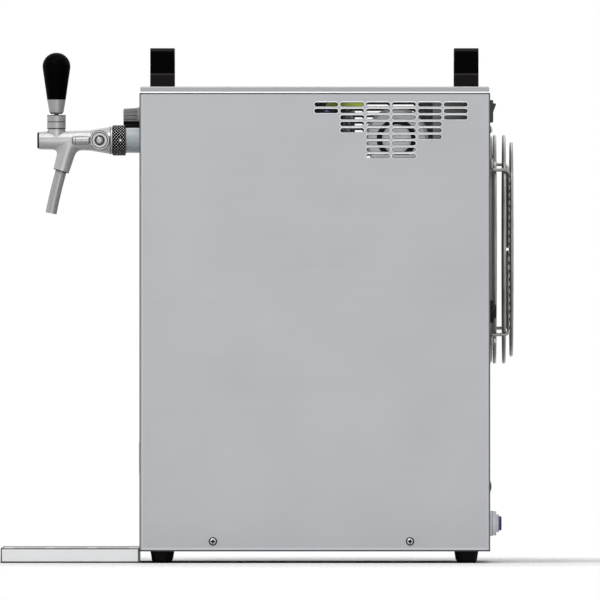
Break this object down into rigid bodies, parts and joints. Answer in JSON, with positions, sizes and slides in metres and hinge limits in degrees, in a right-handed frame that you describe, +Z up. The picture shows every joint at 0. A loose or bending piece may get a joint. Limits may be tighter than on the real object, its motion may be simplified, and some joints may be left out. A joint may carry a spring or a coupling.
{
  "type": "draft beer dispenser",
  "caption": "Counter-top draft beer cooler: steel casing with a compensator tap, drip tray, carrying handles, thermostat, rear fan with wire guard and push-fit hose fittings.",
  "frame": {"origin": "on the counter, below the middle of the whole object with its tray", "axes": "+X to the rear, away from the tap; +Z up; +Y away from the viewer's side of the picture"},
  "size_m": [0.6146, 0.3248, 0.6172],
  "materials": {
    "casing_steel": "fine brushed, satin",
    "screw_steel": "polished",
    "handle_plastic": "moulded, matte",
    "rubber_black": "matte",
    "badge_metal": "satin, bare",
    "tray_steel": "satin",
    "tap_chrome": "polished",
    "knob_black": "gloss",
    "nut_black": "knurled",
    "sleeve_plastic": "satin",
    "valve_brass": "turned",
    "cone_plastic": "moulded",
    "fitting_black": "moulded",
    "switch_black": "satin",
    "fitting_grey": "moulded",
    "collet_blue": "moulded",
    "guard_wire": "plated wire",
    "fan_black": "moulded",
    "dark_paint": "semi-gloss",
    "block_aluminium": "cast",
    "foam": "foamed",
    "strip_green": "moulded",
    "pump_grey": "semi-gloss",
    "line_plastic": "extruded",
    "air_line_plastic": "extruded",
    "copper": "drawn"
  },
  "bodies": {
    "casing": {"base_pan": "casing_steel", "front_panel": "casing_steel", "rear_panel": "casing_steel", "side_panel_right": "casing_steel", "side_panel_left": "casing_steel", "top_lid": "casing_steel", "side_screws": "screw_steel", "rear_screws": "screw_steel", "handle_front": "handle_plastic", "handle_rear": "handle_plastic", "handle_screws": "screw_steel", "rubber_feet": "rubber_black", "front_badge": "badge_metal", "tap_body": "tap_chrome", "tap_end_cap": "knob_black", "spout_tube": "tap_chrome", "tap_shank": "tap_chrome", "shank_sleeve": "sleeve_plastic", "coupling_nut": "nut_black", "shank_locknut": "tap_chrome", "bonnet_nut": "tap_chrome", "thermostat_body": "fitting_black", "switch_housing": "switch_black", "mains_gland": "fitting_black", "blanking_plug": "fitting_black", "beer_inlet": "fitting_grey", "air_outlet": "fitting_grey", "fitting_locknuts": "fitting_grey", "guard_face": "guard_wire", "guard_hoops": "guard_wire", "guard_legs": "guard_wire", "fan_motor": "dark_paint", "fan_shroud": "dark_paint", "condenser": "dark_paint", "compressor": "dark_paint", "compressor_mounts": "rubber_black", "cooling_block": "block_aluminium", "foam_jacket": "foam", "control_box": "fitting_black", "terminal_strip": "strip_green", "air_pump": "pump_grey", "beer_line_in": "line_plastic", "beer_line_out": "line_plastic", "air_line": "air_line_plastic", "refrigerant_lines": "copper"},
    "tap_lever": {"lever_stem": "tap_chrome", "lever_ferrule": "tap_chrome", "lever_knob": "knob_black"},
    "valve": {"valve_piston": "valve_brass", "valve_seal": "rubber_black"},
    "compensator": {"compensator_lever": "tap_chrome", "compensator_screw": "tap_chrome"},
    "flow_cone": {"compensator_cone": "cone_plastic"},
    "thermostat": {"thermostat_knob": "fitting_black"},
    "rocker": {"switch_rocker": "switch_black"},
    "fan": {"fan_rotor": "fan_black"},
    "beer_release": {"beer_collet": "collet_blue"},
    "air_release": {"air_collet": "collet_blue"},
    "tray": {"drip_tray": "tray_steel"},
    "grate": {"drip_grate": "tray_steel"}
  },
  "joints": [
    {"name": "lever_pull", "type": "hinge", "parent": "casing", "child": "tap_lever", "pos_m": [-0.2417, 0, 0.5345], "axis": [0, -1, 0], "range_deg": [0, 20]},
    {"name": "valve_slide", "type": "slide", "parent": "casing", "child": "valve", "axis": [1, 0, 0], "range_m": [0, 0.0097]},
    {"name": "compensator_turn", "type": "hinge", "parent": "casing", "child": "compensator", "pos_m": [-0.1896, -0.017, 0.507], "axis": [0, -1, 0], "range_deg": [0, 90]},
    {"name": "cone_slide", "type": "slide", "parent": "casing", "child": "flow_cone", "axis": [1, 0, 0], "range_m": [0, 0.0052]},
    {"name": "thermostat_turn", "type": "hinge", "parent": "casing", "child": "thermostat", "pos_m": [-0.141, 0.08, 0.532], "axis": [-1, 0, 0], "range_deg": [-135, 135]},
    {"name": "rocker_press", "type": "hinge", "parent": "casing", "child": "rocker", "pos_m": [0.277, -0.1393, 0.541], "axis": [0, 1, 0], "range_deg": [-20, 0]},
    {"name": "fan_spin", "type": "hinge", "parent": "casing", "child": "fan", "pos_m": [0.252, 0, 0.376], "axis": [1, 0, 0], "continuous": true},
    {"name": "beer_release_push", "type": "slide", "parent": "casing", "child": "beer_release", "axis": [-1, 0, 0], "range_m": [0, 0.002], "stiffness_N_per_m": 500},
    {"name": "air_release_push", "type": "slide", "parent": "casing", "child": "air_release", "axis": [-1, 0, 0], "range_m": [0, 0.002], "stiffness_N_per_m": 500},
    {"name": "tray_pull", "type": "slide", "parent": "casing", "child": "tray", "axis": [-1, 0, 0], "range_m": [0, 0.3]},
    {"name": "grate_lift", "type": "slide", "parent": "tray", "child": "grate", "axis": [0, 0, 1], "range_m": [0, 0.08]}
  ],
  "couplings": [
    {"joint": "valve_slide", "follows": "lever_pull", "m_per_rad": 0.0275},
    {"joint": "cone_slide", "follows": "compensator_turn", "m_per_rad": 0.0032411}
  ]
}
